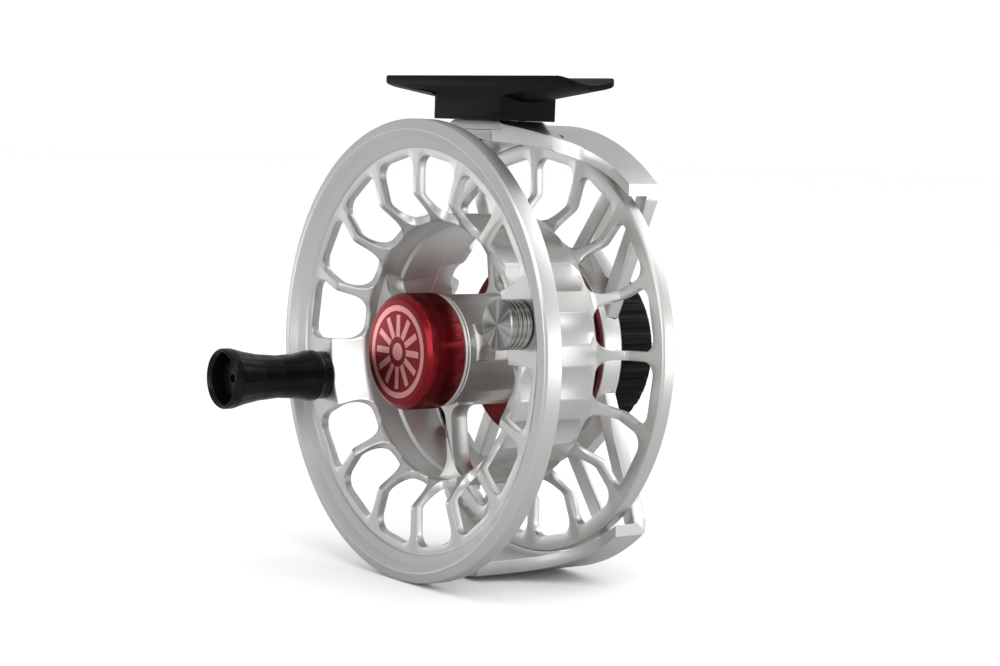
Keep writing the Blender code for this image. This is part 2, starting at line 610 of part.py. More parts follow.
def knob():
    """The fluted drag knob, its nut and its click plunger."""
    outside = [
        (0, KNOB_FRONT),
        (KNOB_RADIUS - 0.4, KNOB_FRONT),
        (KNOB_RADIUS, KNOB_FRONT - 0.4),
        (KNOB_RADIUS, KNOB_REAR + 1.6),
        (KNOB_RADIUS - 0.4, KNOB_REAR + 0.6),
        (KNOB_RADIUS - 1.4, KNOB_REAR),
        (0, KNOB_REAR),
    ]
    body = turned("drag_knob", outside, reel_axis, BLACK, steps=60, ring=False)
    flutes = bmesh.new()
    for x, y in around(KNOB_RADIUS + 0.6, KNOB_FLUTES, 3):
        place = Matrix.Translation((x, y, KNOB_REAR))
        bmesh.ops.create_cone(flutes, cap_ends=True, segments=6, radius1=1.1, radius2=1.1, depth=16, matrix=place)
    cut(body, add("knob_flutes", mesh_from(flutes, "knob_flutes"), reel_axis))
    cut(body, pins("knob_bore", 2.8, 0, KNOB_REAR - PAST, [(0, 0)], reel_axis, steps=SMALL_STEPS))
    cut(body, pins("knob_recess", 6.0, KNOB_REAR + 3.2, KNOB_REAR - PAST, [(0, 0)], reel_axis, steps=SMALL_STEPS))
    cut(body, pins("knob_plunger_hole", 1.3, -10, KNOB_FRONT - 4.0, [(0, 10.0)], reel_axis, steps=16))
    nut = [(4.6, KNOB_REAR + 2.9), (5.0, KNOB_REAR + 2.5), (5.0, KNOB_REAR + 0.8), (4.6, KNOB_REAR + 0.4)]
    rod("knob_nut", nut, reel_axis, STEEL)
    place = empty("plunger_axis", reel_axis, (0, 10.0, 0))
    rod("knob_plunger", [(0.4, -19.25), (0.9, -19.7), (0.9, -22.0)], place, STEEL, 16)
    coil("knob_plunger_spring", place)


def coil(name, parent):
    """A compression spring as a bevelled curve, welded into a closed mesh."""
    turns, per_turn, radius, wire = 3, 10, 0.75, 0.14
    top, bottom = -22.3, -23.7
    curve = bpy.data.curves.new(name, "CURVE")
    curve.dimensions = "3D"
    curve.bevel_depth = wire * MM
    curve.bevel_resolution = 1
    curve.use_fill_caps = True
    line = curve.splines.new("POLY")
    count = turns * per_turn
    line.points.add(count)
    for step in range(count + 1):
        angle = 2 * math.pi * step / per_turn
        depth = top + (bottom - top) * step / count
        line.points[step].co = (radius * math.cos(angle) * MM, radius * math.sin(angle) * MM, depth * MM, 1)
    made = bpy.data.objects.new(name, curve)
    made.parent = parent
    reel.objects.link(made)
    curve.materials.append(material(name, *STEEL))


spool()
handle()
counterweight()
cap()
axle()
drag()
frame()
foot()
knob()

bpy.context.view_layer.update()
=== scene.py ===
import math

import bmesh
import bpy
from mathutils import Matrix, Vector


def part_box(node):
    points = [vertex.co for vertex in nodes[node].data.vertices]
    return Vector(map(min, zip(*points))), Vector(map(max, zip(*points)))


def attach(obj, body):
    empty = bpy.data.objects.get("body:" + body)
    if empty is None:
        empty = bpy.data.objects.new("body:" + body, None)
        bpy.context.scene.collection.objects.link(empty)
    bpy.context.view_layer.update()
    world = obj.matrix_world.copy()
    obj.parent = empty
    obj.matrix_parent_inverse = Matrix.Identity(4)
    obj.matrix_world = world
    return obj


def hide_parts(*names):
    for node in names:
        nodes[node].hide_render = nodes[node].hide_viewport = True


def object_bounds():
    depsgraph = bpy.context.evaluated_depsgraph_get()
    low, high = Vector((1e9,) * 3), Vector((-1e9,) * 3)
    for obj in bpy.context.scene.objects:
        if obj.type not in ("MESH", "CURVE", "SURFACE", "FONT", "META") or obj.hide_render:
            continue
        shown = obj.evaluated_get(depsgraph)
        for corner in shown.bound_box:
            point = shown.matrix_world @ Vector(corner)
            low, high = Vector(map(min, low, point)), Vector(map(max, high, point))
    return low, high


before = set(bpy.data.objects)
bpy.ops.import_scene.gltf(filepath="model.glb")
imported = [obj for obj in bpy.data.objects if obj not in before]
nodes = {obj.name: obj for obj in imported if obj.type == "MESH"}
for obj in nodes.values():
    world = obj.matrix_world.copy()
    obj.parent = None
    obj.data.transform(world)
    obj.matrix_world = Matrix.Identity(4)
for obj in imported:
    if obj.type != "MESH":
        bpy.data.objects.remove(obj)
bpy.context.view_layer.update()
print("frame loaded")

mm = 0.001
past = 6  # how far a cutter runs past what it cuts, in millimetres


# where things are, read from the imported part
def middle(node):
    low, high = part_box(node)
    return (low + high) / 2


axle = middle("spool")
gripLine = middle("handle_grip")
weightLine = middle("counterweight")
spoolTurn = math.atan2(gripLine.z - axle.z, gripLine.x - axle.x) - math.pi

# local axes of a turned piece: X right, Y up, Z towards the handle side
reelSpace = Matrix.Translation((0, 0, axle.z)) @ Matrix.Rotation(math.pi / 2, 4, "X")
gripSpace = Matrix.Translation((gripLine.x, 0, gripLine.z)) @ Matrix.Rotation(math.pi / 2, 4, "X")
weightSpace = Matrix.Translation((weightLine.x, 0, weightLine.z)) @ Matrix.Rotation(math.pi / 2, 4, "X")


# mesh helpers, in millimetres
def newObject(name, mesh):
    piece = bpy.data.objects.new(name, mesh)
    bpy.context.scene.collection.objects.link(piece)
    return piece


def meshFrom(shape, name):
    mesh = bpy.data.meshes.new(name)
    bmesh.ops.scale(shape, vec=(mm, mm, mm), verts=shape.verts)
    bmesh.ops.recalc_face_normals(shape, faces=shape.faces)
    shape.to_mesh(mesh)
    shape.free()
    return newObject(name, mesh)


# (radius, depth) or (radius, depth, fillet) corners as points, with each fillet drawn as a short curve
def softened(corners, steps=4):
    points = []
    for index, corner in enumerate(corners):
        here = Vector(corner[:2])
        fillet = corner[2] if len(corner) > 2 else 0
        if not fillet:
            points.append(here)
            continue
        toBefore = Vector(corners[index - 1][:2]) - here
        toAfter = Vector(corners[(index + 1) % len(corners)][:2]) - here
        half = toBefore.angle(toAfter) / 2
        reach = min(fillet / math.tan(half), 0.48 * toBefore.length, 0.48 * toAfter.length)
        start = here + toBefore.normalized() * reach
        end = here + toAfter.normalized() * reach
        for step in range(steps + 1):
            t = step / steps
            points.append(start * (1 - t) ** 2 + here * 2 * t * (1 - t) + end * t**2)
    return points


# a profile spun about Z. A ring's profile closes on itself, and the others' ends lie on the axis
def lathe(name, corners, steps=128, ring=True):
    shape = bmesh.new()
    points = softened(corners)
    verts = [shape.verts.new((radius, 0, depth)) for radius, depth in points]
    edges = [shape.edges.new(pair) for pair in zip(verts, verts[1:])]
    if ring:
        edges.append(shape.edges.new((verts[-1], verts[0])))
    bmesh.ops.spin(
        shape, geom=verts + edges, cent=(0, 0, 0), axis=(0, 0, 1), angle=2 * math.pi, steps=steps,
        use_merge=True,
    )
    bmesh.ops.remove_doubles(shape, verts=shape.verts, dist=0.0005)
    return meshFrom(shape, name)


# a box between two corners, turned about Z by some degrees, with its edges along one axis rounded if asked
def block(name, low, high, turn=0.0, ease=0.0, along="z"):
    shape = bmesh.new()
    bmesh.ops.create_cube(shape, size=1.0)
    bmesh.ops.scale(shape, vec=[b - a for a, b in zip(low, high)], verts=shape.verts)
    bmesh.ops.translate(shape, vec=[(a + b) / 2 for a, b in zip(low, high)], verts=shape.verts)
    if ease:
        axis = "xyz".index(along)
        chosen = [
            edge for edge in shape.edges if abs(edge.verts[0].co[axis] - edge.verts[1].co[axis]) > 0.001
        ]
        bmesh.ops.bevel(shape, geom=chosen, offset=ease, segments=6, profile=0.5, affect="EDGES")
    bmesh.ops.rotate(shape, matrix=Matrix.Rotation(math.radians(turn), 3, "Z"), verts=shape.verts)
    return meshFrom(shape, name)


# round bars along Z at each (x, y) place, in one mesh
def pins(name, radius, front, rear, places, steps=32):
    shape = bmesh.new()
    for x, y in places:
        centre = Matrix.Translation((x, y, (front + rear) / 2))
        bmesh.ops.create_cone(
            shape, cap_ends=True, segments=steps, radius1=radius, radius2=radius, depth=front - rear,
            matrix=centre,
        )
    return meshFrom(shape, name)


# a flat outline of (x, y) points raised along Z
def slab(name, outline, low, high, turn=0.0):
    shape = bmesh.new()
    face = shape.faces.new([shape.verts.new((x, y, low)) for x, y in outline])
    grown = bmesh.ops.extrude_face_region(shape, geom=[face])["geom"]
    lifted = [item for item in grown if isinstance(item, bmesh.types.BMVert)]
    bmesh.ops.translate(shape, vec=(0, 0, high - low), verts=lifted)
    bmesh.ops.rotate(shape, matrix=Matrix.Rotation(math.radians(turn), 3, "Z"), verts=shape.verts)
    return meshFrom(shape, name)


# places evenly round a circle
def around(radius, count, start=0.0):
    angles = [math.radians(start + 360 * step / count) for step in range(count)]
    return [(radius * math.cos(angle), radius * math.sin(angle)) for angle in angles]


# several pieces as one mesh
def gather(name, pieces):
    shape = bmesh.new()
    for piece in pieces:
        shape.from_mesh(piece.data)
        bpy.data.objects.remove(piece)
    mesh = bpy.data.meshes.new(name)
    shape.to_mesh(mesh)
    shape.free()
    return newObject(name, mesh)


# makes the mesh what its modifiers show
def settle(piece):
    bpy.context.view_layer.update()
    graph = bpy.context.evaluated_depsgraph_get()
    mesh = bpy.data.meshes.new_from_object(piece.evaluated_get(graph), depsgraph=graph)
    piece.modifiers.clear()
    piece.data = mesh
    return piece


def combine(piece, tools, operation):
    for tool in tools:
        boolean = piece.modifiers.new("boolean", "BOOLEAN")
        boolean.operation = operation
        boolean.object = tool
        boolean.solver = "EXACT"
    settle(piece)
    for tool in tools:
        bpy.data.objects.remove(tool)
    return piece


def cut(piece, *tools):
    return combine(piece, tools, "DIFFERENCE")


def join(piece, *tools):
    return combine(piece, tools, "UNION")


# a small bevel on every edge sharper than some degrees, save those that reach a point the test refuses
def easeEdges(piece, width, sharpest=32, segments=2, refuse=None):
    shape = bmesh.new()
    shape.from_mesh(piece.data)
    weight = shape.edges.layers.float.new("bevel_weight_edge")
    for edge in shape.edges:
        sharp = edge.is_manifold and edge.calc_face_angle() > math.radians(sharpest)
        refused = refuse is not None and any(refuse(vert.co / mm) for vert in edge.verts)
        edge[weight] = 1.0 if sharp and not refused else 0.0
    shape.to_mesh(piece.data)
    shape.free()
    bevel = piece.modifiers.new("ease", "BEVEL")
    bevel.width = width * mm
    bevel.segments = segments
    bevel.limit_method = "WEIGHT"
    bevel.use_clamp_overlap = False
    bevel.miter_outer = "MITER_ARC"
    return settle(piece)


# smooth shading, its material, its place, its body and the node it stands for
def finishPiece(piece, space, body, material, slot, *replaced, crisp=30):
    piece.data.shade_smooth()
    piece.data.set_sharp_from_angle(angle=math.radians(crisp))
    piece.data.materials.clear()
    piece.data.materials.append(material)
    piece.matrix_world = space
    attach(piece, body)
    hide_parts(*replaced)


# shader groups
def newGroup(name, inputs, outputs):
    group = bpy.data.node_groups.new(name, "ShaderNodeTree")
    for label, kind, value in inputs:
        socket = group.interface.new_socket(label, in_out="INPUT", socket_type="NodeSocket" + kind)
        if value is not None:
            socket.default_value = value
    for label, kind in outputs:
        group.interface.new_socket(label, in_out="OUTPUT", socket_type="NodeSocket" + kind)
    return group, group.nodes.new("NodeGroupInput"), group.nodes.new("NodeGroupOutput")


def mathNode(tree, operation, first, second=None, clamp=False):
    node = tree.nodes.new("ShaderNodeMath")
    node.operation = operation
    node.use_clamp = clamp
    for socket, value in zip(node.inputs, (first, second)):
        if isinstance(value, bpy.types.NodeSocket):
            tree.links.new(value, socket)
        elif value is not None:
            socket.default_value = value
    return node.outputs[0]


def noiseNode(tree, where, scale, detail=2.0, roughness=0.5):
    node = tree.nodes.new("ShaderNodeTexNoise")
    tree.links.new(where, node.inputs["Vector"])
    node.inputs["Detail"].default_value = detail
    node.inputs["Roughness"].default_value = roughness
    if isinstance(scale, bpy.types.NodeSocket):
        tree.links.new(scale, node.inputs["Scale"])
    else:
        node.inputs["Scale"].default_value = scale
    return node.outputs[0]


# the fine pitted surface that bead blasting leaves, and the slow drift in it
def makeBlastGrain():
    group, given, made = newGroup(
        "blastGrain",
        [("Where", "Vector", None), ("Fine Scale", "Float", 5200.0), ("Drift Scale", "Float", 60.0)],
        [("Height", "Float"), ("Speckle", "Float"), ("Drift", "Float")],
    )
    fine = noiseNode(group, given.outputs["Where"], given.outputs["Fine Scale"], 3.0, 0.6)
    coarseScale = mathNode(group, "MULTIPLY", given.outputs["Fine Scale"], 0.31)
    coarse = noiseNode(group, given.outputs["Where"], coarseScale)
    fineShare = mathNode(group, "MULTIPLY", fine, 0.7)
    height = mathNode(group, "ADD", fineShare, mathNode(group, "MULTIPLY", coarse, 0.3))
    drift = noiseNode(group, given.outputs["Where"], given.outputs["Drift Scale"], 3.0)
    group.links.new(height, made.inputs["Height"])
    group.links.new(mathNode(group, "SUBTRACT", fine, 0.5), made.inputs["Speckle"])
    group.links.new(mathNode(group, "SUBTRACT", drift, 0.5), made.inputs["Drift"])
    return group


# how near a point is to a sharp edge, broken up unevenly: a mask that lightens edges, partly as wear and
# partly as a painted edge highlight
def makeEdgeWearAndHighlight():
    group, given, made = newGroup(
        "edgeWearAndHighlight",
        [("Where", "Vector", None), ("Amount", "Float", 1.0), ("Patch Scale", "Float", 900.0)],
        [("Mask", "Float")],
    )
    bevel = group.nodes.new("ShaderNodeBevel")
    bevel.samples = 4
    bevel.inputs["Radius"].default_value = 0.35 * mm
    geometry = group.nodes.new("ShaderNodeNewGeometry")
    dot = group.nodes.new("ShaderNodeVectorMath")
    dot.operation = "DOT_PRODUCT"
    group.links.new(bevel.outputs["Normal"], dot.inputs[0])
    group.links.new(geometry.outputs["Normal"], dot.inputs[1])
    away = mathNode(group, "SUBTRACT", 1.0, dot.outputs["Value"], clamp=True)
    edge = mathNode(group, "MULTIPLY", away, 7.0, clamp=True)
    patch = noiseNode(group, given.outputs["Where"], given.outputs["Patch Scale"], 3.0)
    broken = mathNode(group, "MULTIPLY", edge, mathNode(group, "ADD", patch, 0.35))
    mask = mathNode(group, "MULTIPLY", broken, given.outputs["Amount"], clamp=True)
    group.links.new(mask, made.inputs["Mask"])
    return group


# fine rings about the local Z axis, as a lathe tool leaves them
def makeTurningMarks():
    group, given, made = newGroup(
        "turningMarks",
        [("Where", "Vector", None), ("Pitch Scale", "Float", 4000.0)],
        [("Height", "Float"), ("Shade", "Float")],
    )
    split = group.nodes.new("ShaderNodeSeparateXYZ")
    group.links.new(given.outputs["Where"], split.inputs[0])
    squares = [mathNode(group, "MULTIPLY", split.outputs[axis], split.outputs[axis]) for axis in ("X", "Y")]
    radius = mathNode(group, "SQRT", mathNode(group, "ADD", *squares))
    along = mathNode(group, "ADD", radius, split.outputs["Z"])
    line = group.nodes.new("ShaderNodeCombineXYZ")
    group.links.new(along, line.inputs[0])
    rings = noiseNode(group, line.outputs[0], given.outputs["Pitch Scale"], 4.0, 0.7)
    group.links.new(rings, made.inputs["Height"])
    group.links.new(mathNode(group, "SUBTRACT", rings, 0.5), made.inputs["Shade"])
    return group


# painted reflection: light and dark fans about the local Z axis, as a finely turned face reflects them, put
# into the colour
def makeFanReflections():
    group, given, made = newGroup(
        "paintedFanReflections",
        [("Where", "Vector", None), ("Fan Scale", "Float", 1.6)],
        [("Fan Reflections", "Float")],
    )
    flat = group.nodes.new("ShaderNodeVectorMath")
    flat.operation = "MULTIPLY"
    flat.inputs[1].default_value = (1, 1, 0)
    group.links.new(given.outputs["Where"], flat.inputs[0])
    unit = group.nodes.new("ShaderNodeVectorMath")
    unit.operation = "NORMALIZE"
    group.links.new(flat.outputs[0], unit.inputs[0])
    fanReflections = noiseNode(group, unit.outputs[0], given.outputs["Fan Scale"], 3.0, 0.55)
    spread = mathNode(group, "MULTIPLY", mathNode(group, "SUBTRACT", fanReflections, 0.38), 3.6, clamp=True)
    group.links.new(spread, made.inputs["Fan Reflections"])
    return group


groups = {
    "fanReflections": makeFanReflections(),
    "grain": makeBlastGrain(),
    "wearAndHighlight": makeEdgeWearAndHighlight(),
    "turning": makeTurningMarks(),
}
print("shader groups made")


def placeGroup(tree, key, where, **values):
    node = tree.nodes.new("ShaderNodeGroup")
    node.node_tree = groups[key]
    tree.links.new(where, node.inputs["Where"])
    for label, value in values.items():
        node.inputs[label.replace("_", " ")].default_value = value
    return node


def mixColours(tree, factor, first, second):
    node = tree.nodes.new("ShaderNodeMix")
    node.data_type = "RGBA"
    tree.links.new(factor, node.inputs["Factor"])
    for socket, value in ((node.inputs[6], first), (node.inputs[7], second)):
        if isinstance(value, bpy.types.NodeSocket):
            tree.links.new(value, socket)
        else:
            socket.default_value = (*value, 1)
    return node.outputs[2]


# anodised or bare metal: colour, grain or turning marks, painted reflection fans, edge wear with a painted
# edge highlight, uneven gloss
def metalFinish(name, look):
    material = bpy.data.materials.new(name)
    material.use_nodes = True
    tree = material.node_tree
    shader = tree.nodes["Principled BSDF"]
    where = tree.nodes.new("ShaderNodeTexCoord").outputs["Object"]
    shader.inputs["Metallic"].default_value = look["metallic"]
    shader.inputs["Specular IOR Level"].default_value = look.get("specular", 0.5)
    if "anisotropy" in look:
        shader.inputs["Anisotropic"].default_value = look["anisotropy"]
    if "coat" in look:
        shader.inputs["Coat Weight"].default_value = look["coat"]
        shader.inputs["Coat Roughness"].default_value = look["coatRoughness"]

    grain = placeGroup(tree, "grain", where, Fine_Scale=look["grainScale"], Drift_Scale=look["driftScale"])
    wearAndHighlight = placeGroup(tree, "wearAndHighlight", where, Amount=look["wearAndHighlight"])
    light = [min(1.0, channel * (1 + look["speckle"])) for channel in look["colour"]]
    dark = [channel * (1 - look["speckle"]) for channel in look["colour"]]
    tone = mathNode(tree, "ADD", grain.outputs["Drift"], grain.outputs["Speckle"])
    colour = mixColours(tree, mathNode(tree, "ADD", tone, 0.5, clamp=True), dark, light)
    height = grain.outputs["Height"]
    rough = mathNode(tree, "MULTIPLY", grain.outputs["Drift"], look["glossDrift"])
    if "turning" in look:
        marks = placeGroup(tree, "turning", where, Pitch_Scale=look["turning"])
        height = mathNode(tree, "ADD", mathNode(tree, "MULTIPLY", marks.outputs["Height"], 2.0), height)
        rough = mathNode(tree, "ADD", rough, mathNode(tree, "MULTIPLY", marks.outputs["Shade"], 0.25))
    # painted reflection: dark fans mixed into the turned face's colour
    if "fanReflectionColour" in look:
        fanReflections = placeGroup(tree, "fanReflections", where)
        colour = mixColours(tree, fanReflections.outputs["Fan Reflections"], look["fanReflectionColour"], colour)
    if "markColour" in look:
        colour = mixColours(tree, look["mark"](tree, where), colour, look["markColour"])
    # edges lightened towards a lighter shade of each finish's own colour: part wear, part painted edge
    # highlight
    colour = mixColours(tree, wearAndHighlight.outputs["Mask"], colour, look["wearAndHighlightColour"])
    tree.links.new(colour, shader.inputs["Base Color"])
    tree.links.new(mathNode(tree, "ADD", rough, look["roughness"], clamp=True), shader.inputs["Roughness"])
    bump = tree.nodes.new("ShaderNodeBump")
    bump.inputs["Strength"].default_value = look["bump"]
    bump.inputs["Distance"].default_value = 0.02 * mm
    tree.links.new(height, bump.inputs["Height"])
    tree.links.new(bump.outputs["Normal"], shader.inputs["Normal"])
    return material


dial = {
    "ticks": 12,
    "tickSpan": (2.9, 7.2),
    "tickHalfWidth": 0.62,
    "rings": ((7.9, 9.0), (-1, 1.7)),
    "faceDepth": 21.0,
}


# a plain dial: straight ticks between two rings, in the plane square to local Z, on the front only
def dialMark(tree, where):
    split = tree.nodes.new("ShaderNodeSeparateXYZ")
    tree.links.new(where, split.inputs[0])
    squares = [mathNode(tree, "MULTIPLY", split.outputs[axis], split.outputs[axis]) for axis in ("X", "Y")]
    radius = mathNode(tree, "SQRT", mathNode(tree, "ADD", *squares))
    angle = mathNode(tree, "ARCTAN2", split.outputs["Y"], split.outputs["X"])
    pitch = 2 * math.pi / dial["ticks"]
    fromTick = mathNode(tree, "PINGPONG", angle, pitch / 2)
    sideways = mathNode(tree, "MULTIPLY", fromTick, radius)

    def between(value, low, high):
        above = mathNode(tree, "GREATER_THAN", value, low * mm)
        return mathNode(tree, "MULTIPLY", above, mathNode(tree, "LESS_THAN", value, high * mm))

    inSpan = between(radius, *dial["tickSpan"])
    marks = mathNode(tree, "MULTIPLY", inSpan, between(sideways, -1, dial["tickHalfWidth"]))
    for ringSpan in dial["rings"]:
        marks = mathNode(tree, "MAXIMUM", marks, between(radius, *ringSpan))
    onFace = mathNode(tree, "GREATER_THAN", split.outputs["Z"], dial["faceDepth"] * mm)
    return mathNode(tree, "MULTIPLY", marks, onFace)


finishes = {
    "silver": {
        "colour": (0.80, 0.80, 0.785), "wearAndHighlightColour": (0.93, 0.93, 0.92), "metallic": 1.0, "roughness": 0.36,
        "grainScale": 4200.0, "driftScale": 45.0, "speckle": 0.035, "glossDrift": 0.10,
        "wearAndHighlight": 0.8, "bump": 0.22,
    },
    "black": {
        "colour": (0.003, 0.003, 0.0032), "wearAndHighlightColour": (0.02, 0.02, 0.021),
        "metallic": 0.0, "roughness": 0.22, "specular": 0.22,
        "grainScale": 6000.0, "driftScale": 70.0, "speckle": 0.15, "glossDrift": 0.12,
        "wearAndHighlight": 0.5, "bump": 0.06,
    },
    "blackSatin": {
        "colour": (0.003, 0.003, 0.0033), "wearAndHighlightColour": (0.025, 0.025, 0.026),
        "metallic": 0.0, "roughness": 0.40, "specular": 0.08,
        "grainScale": 5000.0, "driftScale": 60.0, "speckle": 0.15, "glossDrift": 0.10,
        "wearAndHighlight": 0.6, "bump": 0.15,
    },
    "red": {
        "colour": (0.26, 0.008, 0.014), "wearAndHighlightColour": (0.50, 0.03, 0.04), "metallic": 0.95, "roughness": 0.26,
        "grainScale": 5200.0, "driftScale": 60.0, "speckle": 0.06, "glossDrift": 0.08,
        "wearAndHighlight": 0.7, "bump": 0.10, "coat": 0.2, "coatRoughness": 0.12,
    },
    "steel": {
        "colour": (0.60, 0.585, 0.56), "wearAndHighlightColour": (0.72, 0.71, 0.69), "metallic": 1.0, "roughness": 0.22,
        "grainScale": 6000.0, "driftScale": 80.0, "speckle": 0.06, "glossDrift": 0.08,
        "wearAndHighlight": 0.6, "bump": 0.12, "turning": 5200.0, "anisotropy": 0.5,
    },
    "turnedSteel": {
        "colour": (0.66, 0.65, 0.63), "fanReflectionColour": (0.16, 0.16, 0.155), "wearAndHighlightColour": (0.75, 0.74, 0.72),
        "metallic": 1.0, "roughness": 0.20,
        "grainScale": 6000.0, "driftScale": 80.0, "speckle": 0.06, "glossDrift": 0.06,
        "wearAndHighlight": 0.9, "bump": 0.10, "turning": 5200.0, "anisotropy": 0.5,
    },
    "carbon": {
        "colour": (0.03, 0.03, 0.033), "wearAndHighlightColour": (0.06, 0.06, 0.06), "metallic": 0.0, "roughness": 0.6,
        "grainScale": 3000.0, "driftScale": 90.0, "speckle": 0.3, "glossDrift": 0.10,
        "wearAndHighlight": 0.2, "bump": 0.4,
    },
}
finishes["cap"] = {**finishes["red"], "markColour": (0.80, 0.36, 0.36), "mark": dialMark}

metals = {name: metalFinish(name + "Finish", look) for name, look in finishes.items()}
print("finishes made")


# spool
spoolSizes = {
    "steps": 192,
    "rim": 45.0, "rimFront": 19.7, "webFront": 17.2, "webBack": 15.4,
    "rearRim": 41.1, "rearWeb": -11.3, "rearFace": -14.3,
    "knee": 30.4, "arbor": 26.8, "bore": 25.2,
    "ports": 16, "spoke": 1.8, "portInner": 22.0, "portOuter": 37.9, "portRound": 3.2,
    "portMouth": 26.0, "frontEnd": 11.5, "rearEnd": -6.6,
    "valleyRadius": 9.0, "valleyDepth": 0.75, "valleyFront": 15.0, "valleyRear": -10.1,
    "valleyRun": 5.0, "valleyTaper": 2.85,
    "hub": 10.95, "hubFront": 11.8, "hubRear": -6.6, "hubBore": 8.3,
    "seatBore": 6.2, "seatFront": 5.7, "seatRear": 0.3,
    "frontArms": (0.0, 144.4, 264.4), "frontArmsRear": 6.0,
    "rearArms": (84.4, 204.4, 324.4), "rearArmsRear": -6.0,
    "armWidth": 2.0, "armDepth": 4.0, "hubFlare": 2.6, "boreFlare": 5.5,
    "dogRadius": 1.0, "dogCircle": 9.6, "dogReach": 2.2, "stemRadius": 1.8, "stemCircle": 34.5,
    "ease": 0.16,
}


# one port's cutter: through the web, down the cone and into the arbor, rounded where a cutter would round it
def portWedge(angle, mouth, end, facing):
    s = spoolSizes
    halfPitch = math.pi / s["ports"]
    shape = bmesh.new()
    bmesh.ops.create_cube(shape, size=2.0)
    rounded = []
    for edge in shape.edges:
        a, b = (vert.co for vert in edge.verts)
        alongDepth = a.x == b.x == 1 and a.y == b.y
        alongRadius = a.z == b.z == -1 and a.y == b.y
        if alongDepth or alongRadius:
            rounded.append(edge)
    for vert in shape.verts:
        radius = s["portOuter"] if vert.co.x > 0 else s["portInner"]
        halfWidth = radius * math.tan(halfPitch) - s["spoke"] / 2 / math.cos(halfPitch)
        depth = mouth if vert.co.z > 0 else end
        vert.co = Vector((radius, math.copysign(halfWidth, vert.co.y), depth))
    bmesh.ops.bevel(shape, geom=rounded, offset=s["portRound"], segments=8, profile=0.5, affect="EDGES")
    bmesh.ops.scale(shape, vec=(1, 1, facing), verts=shape.verts)
    bmesh.ops.rotate(shape, matrix=Matrix.Rotation(angle, 3, "Z"), verts=shape.verts)
    return meshFrom(shape, "port")


# a spoke between hub and arbor that flares where it meets each
def arm(angle, rear):
    s = spoolSizes
    start, end = s["hub"] - 1.2, s["bore"] + 0.5  # sunk a little into the hub and the arbor
    side = []
    count = 40
    for step in range(count + 1):
        along = start + (end - start) * step / count
        half = s["armWidth"] / 2
        for toEnd, flare in ((along - s["hub"], s["hubFlare"]), (s["bore"] - along, s["boreFlare"])):
            short = max(0.0, flare - max(0.0, toEnd))
            half += flare - math.sqrt(flare**2 - short**2)
        side.append((along, half))
    outline = side + [(along, -half) for along, half in reversed(side)]
    return slab("arm", outline, rear, rear + s["armDepth"], turn=angle)


